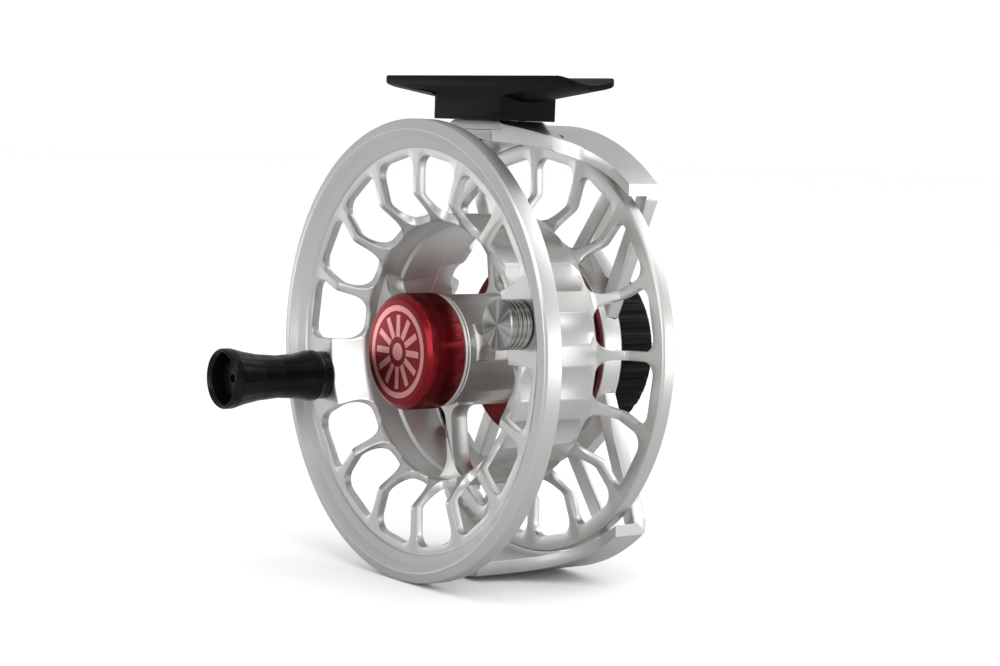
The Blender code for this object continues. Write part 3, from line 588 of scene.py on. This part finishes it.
def makeSpool():
    s = spoolSizes
    rim, web, back = s["rim"], s["webFront"], s["webBack"]
    corners = [
        (rim - 2.1, s["rimFront"], 0.35), (rim - 0.25, s["rimFront"] - 0.35, 0.35),
        (rim, s["rimFront"] - 0.9, 0.3), (rim, back + 0.2, 0.25), (rim - 0.35, back, 0.25),
        (s["knee"] + 0.1, back, 1.6), (s["arbor"], back - 4.0, 2.0),
        (s["arbor"], s["rearWeb"] + 4.0, 2.0), (s["knee"] + 0.1, s["rearWeb"], 1.6),
        (s["rearRim"] - 0.4, s["rearWeb"], 0.3), (s["rearRim"], s["rearWeb"] - 0.4, 0.3),
        (s["rearRim"], s["rearFace"] + 0.3, 0.2), (s["rearRim"] - 0.3, s["rearFace"], 0.2),
        (s["rearRim"] - 2.4, s["rearFace"], 0.3), (s["rearRim"] - 2.9, s["rearWeb"] - 1.8, 0.3),
        (s["knee"] + 0.1, s["rearWeb"] - 1.8, 1.6), (s["bore"], s["rearWeb"] + 3.2, 1.5),
        (s["bore"], -2.4, 0.15), (s["bore"] - 0.7, -2.0, 0.25),
        (s["bore"] - 0.7, 6.2, 0.25), (s["bore"], 6.6, 0.15),
        (s["bore"], web - 5.3, 2.0), (s["knee"] + 0.1, web, 1.4),
        (rim - 5.6, web, 0.3), (rim - 5.2, web + 0.35, 0.3), (rim - 3.7, web + 1.25, 1.2),
    ]
    body = lathe("spoolBody", corners, s["steps"])
    hub = lathe("hub", [
        (s["hub"] - 0.3, s["hubFront"], 0.15), (s["hub"], s["hubFront"] - 0.3, 0.15),
        (s["hub"], s["hubRear"] + 0.3, 0.15), (s["hub"] - 0.3, s["hubRear"], 0.15),
        (s["hubBore"], s["hubRear"]), (s["hubBore"], s["seatRear"]), (s["seatBore"], s["seatRear"]),
        (s["seatBore"], s["seatFront"]), (s["hubBore"], s["seatFront"]), (s["hubBore"], s["hubFront"]),
    ], 96)
    for angles, rear in ((s["frontArms"], s["frontArmsRear"]), (s["rearArms"], s["rearArmsRear"])):
        join(hub, *[arm(angle, rear) for angle in angles])
    join(body, hub)
    print("spool body joined")

    pitch = 2 * math.pi / s["ports"]
    half = s["ports"] // 2
    mouth = s["portMouth"]
    # no port is cut where the handle and the counterweight sit
    front = [portWedge(pitch * step, mouth, s["frontEnd"], 1) for step in range(s["ports"]) if step % half]
    rear = [portWedge(pitch * step, mouth, -s["rearEnd"], -1) for step in range(s["ports"])]
    cut(body, gather("ports", front + rear))
    wide = s["valleyRadius"]
    narrow = wide - s["valleyTaper"]
    scoops = []
    for x, y in around(s["arbor"] - s["valleyDepth"] + wide, s["ports"]):
        scoop = lathe("scoop", [
            (0, s["valleyFront"]), (narrow, s["valleyFront"]), (wide, s["valleyFront"] - s["valleyRun"]),
            (wide, s["valleyRear"] + s["valleyRun"]), (narrow, s["valleyRear"]), (0, s["valleyRear"]),
        ], 96, ring=False)
        scoop.data.transform(Matrix.Translation((x * mm, y * mm, 0)))
        scoops.append(scoop)
    cut(body, gather("scoops", scoops))
    dogs = around(s["dogCircle"], 2, 90)
    cut(body, pins("dogs", s["dogRadius"], s["hubRear"] + s["dogReach"], s["rearFace"] - past, dogs))
    cut(body, pins("stems", s["stemRadius"], web + past, back - past, around(s["stemCircle"], 2)))
    easeEdges(body, s["ease"])
    body.data.transform(Matrix.Rotation(spoolTurn, 4, "Z"))
    finishPiece(body, reelSpace, "spool_body", metals["silver"], "spool_silver", "spool")


makeSpool()
print("spool made")


# frame
frameSizes = {
    "steps": 256,
    "outer": 44.6, "inner": 41.8, "front": 6.4, "rear": -18.8, "halfSpan": 28.9,
    "spiderFront": -15.8, "sweepRadius": 23.8, "sweepX": 31.4, "sweepDepth": 12.3, "sweepLength": 110,
    "boss": 19.5, "bossFront": -14.5, "bossFloor": -16.3, "bossRear": -19.0, "stack": 15.4, "bossHole": 4.5,
    "barWidth": 3.4, "barRun": 3.6, "barRound": 0.45,
    "bars": (((5.8, 17.3), (22.2, 38.4)), ((16.6, 8.0), (27.6, 32.0))),
    "webEnd": 23.2, "webHalf": 6.0, "webRound": 0.4, "webAim": (0.67, 0.74), "trim": 1.1,
    "hollowStretch": 1.06, "padTop": 45.16, "padHalf": 7.5, "padEnd": (16.5, 41.33), "padRear": -6.4,
    "slotHalf": 9.2, "slotFloor": 43.3, "slotRear": 4.4, "slotRound": 1.3,
    "ease": 0.2, "sharpBeyond": 25, "shoulder": (14, 19), "shoulderUp": 38,
}


# the round cutter that narrows the band towards one end
def sweepTool(side):
    s = frameSizes
    shape = bmesh.new()
    place = Matrix.Translation((side * s["sweepX"], 0, s["sweepDepth"]))
    radius = s["sweepRadius"]
    bmesh.ops.create_cone(
        shape, cap_ends=True, segments=192, radius1=radius, radius2=radius, depth=s["sweepLength"],
        matrix=place @ Matrix.Rotation(math.pi / 2, 4, "X"),
    )
    return meshFrom(shape, "sweep")


# where the band's edges meet at too sharp an angle to be eased
def nearTheEnds(at):
    s = frameSizes
    low, high = s["shoulder"]
    return abs(at.x) > s["sharpBeyond"] or (low < abs(at.x) < high and at.y > s["shoulderUp"])


def makeFrame():
    s = frameSizes
    blank = s["inner"] - 3  # thicker than the band, for the hollow to be cut from
    band = lathe("frameBody", [
        (s["outer"], s["front"], 0.35), (s["outer"], s["rear"], 0.8), (blank, s["rear"]), (blank, s["front"]),
    ], s["steps"])
    x, y = s["padEnd"]
    half, top = s["padHalf"], s["padTop"]
    outline = [(-half, top), (half, top), (x, y), (x, y - 1), (-x, y - 1), (-x, y)]
    pad = slab("pad", outline, s["padRear"], s["front"])
    join(band, pad)
    hollow = pins("hollow", s["inner"], s["front"] + past, s["rear"] - past, [(0, 0)], steps=s["steps"])
    hollow.data.transform(Matrix.Diagonal((s["hollowStretch"], 1, 1, 1)))
    cut(band, hollow)
    cut(band, sweepTool(-1), sweepTool(1))
    low = (-s["slotHalf"], s["slotFloor"], s["slotRear"])
    cut(band, block("slot", low, (s["slotHalf"], top + past, s["front"] + past), ease=s["slotRound"]))

    spider = lathe("spider", [
        (s["boss"], s["bossFront"], 0.3), (s["boss"], s["bossRear"], 0.4),
        (s["bossHole"], s["bossRear"], 0.2), (s["bossHole"], s["bossFloor"]),
        (s["stack"], s["bossFloor"]), (s["stack"], s["bossFront"], 0.2),
    ], 128)
    bars = []
    for across in (-1, 1):
        for up in (-1, 1):
            for start, end in s["bars"]:
                start = Vector((start[0] * across, start[1] * up))
                end = Vector((end[0] * across, end[1] * up))
                lean = math.degrees(math.atan2(end.y - start.y, end.x - start.x))
                low = (0, -s["barWidth"] / 2, s["rear"])
                high = ((end - start).length + s["barRun"], s["barWidth"] / 2, s["spiderFront"])
                bar = block("bar", low, high, turn=lean, ease=s["barRound"], along="x")
                bar.data.transform(Matrix.Translation((start.x * mm, start.y * mm, 0)))
                bars.append(bar)
            lean = math.degrees(math.atan2(s["webAim"][1] * up, s["webAim"][0] * across))
            # a hair inside the bars' faces, so that none of them coincide
            low = (s["boss"] - 2.0, -s["webHalf"], s["rear"] + 0.01)
            high = (s["webEnd"], s["webHalf"], s["spiderFront"] - 0.01)
            bars.append(block("web", low, high, turn=lean, ease=s["webRound"]))
    join(spider, *bars)
    near, far = s["outer"] - s["trim"], s["outer"] + 2 * past
    front, rear = s["bossFront"] + past, s["bossRear"] - past
    cut(spider, lathe("outside", [(far, front), (far, rear), (near, rear), (near, front)], 128))
    join(band, spider)
    ends = []
    reach = s["outer"] + past
    for side in (-1, 1):
        near, far = sorted((side * s["halfSpan"], side * reach))
        ends.append(block("end", (near, -reach, s["rear"] - past), (far, reach, s["front"] + past)))
    cut(band, *ends)
    easeEdges(band, s["ease"], refuse=nearTheEnds)
    finishPiece(band, reelSpace, "frame_body", metals["silver"], "frame_silver", "frame")


makeFrame()
print("frame made")


# foot
footSizes = {
    "halfLength": 31.0, "halfWidth": 6.4, "seatRadius": 14.0, "edgeHeight": 1.55,
    "tipThickness": 1.1, "rootThickness": 3.5,
    "pedestalHalf": 11.6, "pedestalTop": -1.0, "pedestalRound": 0.3, "cornerRound": 2.6, "ease": 0.18,
}


def makeFoot():
    s = footSizes
    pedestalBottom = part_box("reel_foot")[0].z / mm
    # spun about the rod's line, then laid along X with its seat facing up
    half = s["halfLength"] + past
    slope = (s["tipThickness"] - s["rootThickness"]) / (s["halfLength"] - s["pedestalHalf"])
    tip = s["seatRadius"] + s["tipThickness"]
    root = s["seatRadius"] + s["rootThickness"]
    far = tip + slope * past
    saddle = lathe("footBody", [
        (far, half), (root, s["pedestalHalf"]), (root, -s["pedestalHalf"]), (far, -half),
        (s["seatRadius"], -half), (s["seatRadius"], half),
    ], 256)
    rodLine = Matrix.Translation((0, 0, s["seatRadius"] * mm))
    saddle.data.transform(rodLine @ Matrix.Rotation(math.pi / 2, 4, "Y"))
    low = (-s["halfLength"], -s["halfWidth"], -s["rootThickness"] - past)
    high = (s["halfLength"], s["halfWidth"], s["edgeHeight"])
    combine(saddle, [block("outline", low, high, ease=s["cornerRound"])], "INTERSECT")
    low = (-s["pedestalHalf"], -s["halfWidth"], pedestalBottom)
    high = (s["pedestalHalf"], s["halfWidth"], s["pedestalTop"])
    join(saddle, block("pedestal", low, high, ease=s["pedestalRound"]))
    easeEdges(saddle, s["ease"])
    finishPiece(saddle, Matrix.Identity(4), "frame_body", metals["blackSatin"], "foot_black", "reel_foot")


makeFoot()
print("foot made")


# cap, washer
capSizes = {
    "radius": 11.3, "front": 21.1, "rear": 12.56, "teeth": 110, "toothDepth": 0.26, "hole": 3.4, "roof": 2.0,
    "washer": 10.95, "washerHole": 5.0, "gap": 0.03,
}


# pulls in every other column of an outer wall, which leaves fine straight knurling
def rippled(piece, teeth, depth, radius, low, high):
    for vert in piece.data.vertices:
        x, y, z = vert.co / mm
        if math.hypot(x, y) < radius - 0.05 or not low < z < high:
            continue
        step = round(math.atan2(y, x) / (2 * math.pi) * teeth * 2)
        if step % 2:
            vert.co.x *= 1 - depth / radius
            vert.co.y *= 1 - depth / radius


def makeCap():
    s = capSizes
    radius, front, rear = s["radius"], s["front"], s["rear"]
    cap = lathe("capBody", [
        (0, front), (10.15, front, 0.3), (radius - 0.25, front - 0.75, 0.35), (radius, front - 1.3),
        (radius, rear + 0.6), (radius - 0.3, rear + 0.3), (radius - 0.5, rear, 0.1),
        (s["hole"], rear), (s["hole"], front - s["roof"]), (0, front - s["roof"]),
    ], s["teeth"] * 2, ring=False)
    rippled(cap, s["teeth"], s["toothDepth"], radius, rear + 0.5, front - 1.2)
    finishPiece(cap, reelSpace, "cap_body", metals["cap"], "cap_red", "spool_cap", crisp=50)
    low, high = spoolSizes["hubFront"] + s["gap"], rear - s["gap"]
    washer = lathe("washerRing", [
        (s["washer"] - 0.35, high, 0.1), (s["washer"], high - 0.35, 0.1), (s["washer"], low, 0.05),
        (s["washerHole"], low), (s["washerHole"], high),
    ], 128)
    finishPiece(washer, reelSpace, "cap_body", metals["silver"], "steel", "cap_washer")


makeCap()
print("cap made")


# handle, counterweight
gripSizes = {"end": 41.1, "base": 17.5, "collar": 4.9, "hole": 2.6, "recess": 4.95, "recessDepth": 5.0}
weightSizes = {
    "radius": 4.65, "base": 17.5, "hole": 1.4, "roof": 1.4,
    "grooves": 3, "firstGroove": 1.3, "groovePitch": 0.95, "grooveDepth": 0.4,
}


def makeHandle():
    s = gripSizes
    end, base, floor = s["end"], s["base"], s["end"] - s["recessDepth"]
    grip = lathe("gripBody", [
        (5.65, end, 0.45), (6.1, end - 0.55, 0.6), (6.1, end - 2.2, 1.6), (5.35, end - 5.0, 3.0),
        (4.75, end - 8.2, 3.5), (4.35, end - 13.0, 5.0), (4.6, end - 17.0, 4.0), (5.2, end - 20.2, 1.2),
        (5.25, end - 21.4, 0.7), (s["collar"], end - 22.1, 0.2), (s["collar"], base, 0.2),
        (s["hole"], base), (s["hole"], floor), (s["recess"], floor, 0.3), (s["recess"], end - 0.9, 0.5),
    ], 128)
    finishPiece(grip, gripSpace, "handle_body", metals["black"], "handle_black", "handle_grip")


def makeCounterweight():
    s = weightSizes
    front = -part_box("counterweight")[0].y / mm
    radius, base, hole = s["radius"], s["base"], s["hole"]
    roof, sunk = front - s["roof"], radius - s["grooveDepth"]
    corners = [(0, front), (radius - 0.25, front, 0.12), (radius, front - 0.25, 0.12)]
    for groove in range(s["grooves"]):
        top = front - s["firstGroove"] - s["groovePitch"] * groove
        corners += [(radius, top, 0.08), (sunk, top - 0.12, 0.05), (sunk, top - 0.38, 0.05)]
        corners += [(radius, top - 0.5, 0.08)]
    corners += [(radius, base, 0.1), (hole, base), (hole, roof), (0, roof)]
    button = lathe("weightBody", corners, 128, ring=False)
    finish = metals["turnedSteel"]
    finishPiece(button, weightSpace, "spool_body", finish, "counterweight_steel", "counterweight")


makeHandle()
makeCounterweight()
print("handle and counterweight made")


# drag housing, drag knob
dragSizes = {
    "radius": 18.0, "front": -8.0, "rear": -14.2, "stack": 15.4, "hole": 8.1,
    "screwHole": 1.0, "screwCircle": 16.7, "screwReach": 2.6, "pawlHole": 0.8, "pawlAt": 12.6,
}
knobSizes = {
    "radius": 16.5, "front": -19.9, "rear": -30.0, "recess": 6.0, "recessDepth": 3.2, "hole": 2.8,
    "flutes": 30, "fluteRadius": 1.15, "fluteSink": 0.55, "fluteLength": 8.3,
    "plungerHole": 1.3, "plungerAt": 10.0, "plungerReach": 4.0, "ease": 0.15,
}


def makeDrag():
    s = dragSizes
    housing = lathe("housingBody", [
        (s["radius"], s["front"], 1.0), (s["radius"], s["rear"], 0.3), (s["stack"], s["rear"]),
        (s["stack"], s["front"] - 1.0), (s["hole"], s["front"] - 1.0), (s["hole"], s["front"], 0.3),
    ], 128)
    screws = around(s["screwCircle"], 3, 90)
    cut(housing, pins("screwHoles", s["screwHole"], s["rear"] + s["screwReach"], s["rear"] - past, screws))
    cut(housing, pins("pawlHole", s["pawlHole"], s["front"] - 0.5, s["rear"], [(s["pawlAt"], 0)]))
    finishPiece(housing, reelSpace, "frame_body", metals["red"], "housing_red", "drag_housing")


def makeKnob():
    s = knobSizes
    radius, front, rear = s["radius"], s["front"], s["rear"]
    recess, floor, hole = s["recess"], rear + s["recessDepth"], s["hole"]
    knob = lathe("knobBody", [
        (radius, front, 0.4), (radius, rear + 1.0, 1.0), (radius - 1.2, rear, 0.6),
        (recess + 0.6, rear, 0.4), (recess, rear + 0.6, 0.2), (recess, floor), (hole, floor), (hole, front),
    ], 180)
    places = around(radius + s["fluteRadius"] - s["fluteSink"], s["flutes"], 3)
    cut(knob, pins("flutes", s["fluteRadius"], rear + s["fluteLength"], rear - past, places, steps=24))
    plunger = [(0, s["plungerAt"])]
    cut(knob, pins("plunger", s["plungerHole"], front + past, front - s["plungerReach"], plunger))
    easeEdges(knob, s["ease"])
    finishPiece(knob, reelSpace, "knob_body", metals["blackSatin"], "knob_black", "drag_knob")


makeDrag()
makeKnob()
print("drag made")


# finishes on the pieces kept as they are
keptFinishes = {"friction_disc": "carbon", "handle_spindle": "black"}
for name, node in nodes.items():
    if node.hide_render:
        continue
    node.data.materials.clear()
    node.data.materials.append(metals[keptFinishes.get(name, "steel")])
    node.data.shade_smooth()
    node.data.set_sharp_from_angle(angle=math.radians(35))
print("small pieces finished")


# floor, light, camera
studio = {
    "floorColour": 0.95, "floorShadeInReflections": 0.42, "skyBright": 1.08, "skyOnMetal": 0.5,
    "aim": (4.5, 0.0, -48.7), "azimuth": 53.73, "elevation": 4.94, "roll": 1.98,
    "distance": 460.0, "lens": 84.14,
}
# place, aim, width, height and power, in metres and watts
softboxes = {
    "keyLight": ((0.55, -0.15, 0.60), (0, 0, -0.05), 0.5, 0.5, 1.8),
    "leftLight": ((-0.47, -0.21, -0.06), (0, 0, -0.06), 0.16, 0.07, 0.07),
    "frontLight": ((0.26, -0.62, 0.08), (0, 0, -0.05), 0.35, 0.45, 0.9),
    "rightLight": ((0.34, 0.26, -0.035), (0, 0, -0.05), 0.22, 0.12, 0.18),
    "rearLight": ((0.20, 0.70, 0.45), (0, 0, -0.05), 0.6, 0.5, 1.4),
}


def softbox(name, place, aim, width, height, power):
    light = bpy.data.lights.new(name, "AREA")
    light.shape = "RECTANGLE"
    light.size = width
    light.size_y = height
    light.energy = power
    lamp = newObject(name, light)
    lamp.location = Vector(place)
    lamp.rotation_euler = (Vector(aim) - Vector(place)).to_track_quat("-Z", "Y").to_euler()


# one value as seen directly and by matt surfaces, another in reflections
def glossyMix(tree, direct, reflected):
    path = tree.nodes.new("ShaderNodeLightPath")
    mix = tree.nodes.new("ShaderNodeMix")
    mix.data_type = "FLOAT"
    tree.links.new(path.outputs["Is Glossy Ray"], mix.inputs["Factor"])
    mix.inputs[2].default_value = direct
    mix.inputs[3].default_value = reflected
    return mix.outputs[0]


def makeFloor():
    shape = bmesh.new()
    bmesh.ops.create_grid(shape, x_segments=1, y_segments=1, size=6000)
    floor = meshFrom(shape, "floor")
    floor.location.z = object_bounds()[0][2] - 0.02 * mm
    material = bpy.data.materials.new("floorPaper")
    material.use_nodes = True
    tree = material.node_tree
    paper = tree.nodes["Principled BSDF"]
    # painted shade in reflections: the floor's colour is darker for glossy rays than when seen directly
    mix = glossyMix(tree, studio["floorColour"], studio["floorShadeInReflections"])
    tree.links.new(mix, paper.inputs["Base Color"])
    paper.inputs["Roughness"].default_value = 0.9
    paper.inputs["Specular IOR Level"].default_value = 0.1
    floor.data.materials.append(material)


def makeSky():
    world = bpy.data.worlds.new("studio")
    bpy.context.scene.world = world
    world.use_nodes = True
    tree = world.node_tree
    background = tree.nodes["Background"]
    tree.links.new(glossyMix(tree, studio["skyBright"], studio["skyOnMetal"]), background.inputs["Strength"])
    background.inputs["Color"].default_value = (1, 1, 1, 1)


def makeCamera():
    camera = bpy.data.cameras.new("camera")
    camera.lens = studio["lens"]
    camera.clip_start = 0.01
    view = newObject("camera", camera)
    turn = Matrix.Rotation(math.radians(studio["azimuth"]), 4, "Z")
    turn = turn @ Matrix.Rotation(math.radians(90 - studio["elevation"]), 4, "X")
    aim = Vector(studio["aim"]) * mm
    back = turn @ Vector((0, 0, studio["distance"] * mm))
    roll = Matrix.Rotation(math.radians(studio["roll"]), 4, "Z")
    view.matrix_world = Matrix.Translation(aim + back) @ turn @ roll
    bpy.context.scene.camera = view


makeFloor()
for name, settings in softboxes.items():
    softbox(name, *settings)
makeSky()
makeCamera()
bpy.context.scene.view_settings.view_transform = "Standard"
print("studio made")
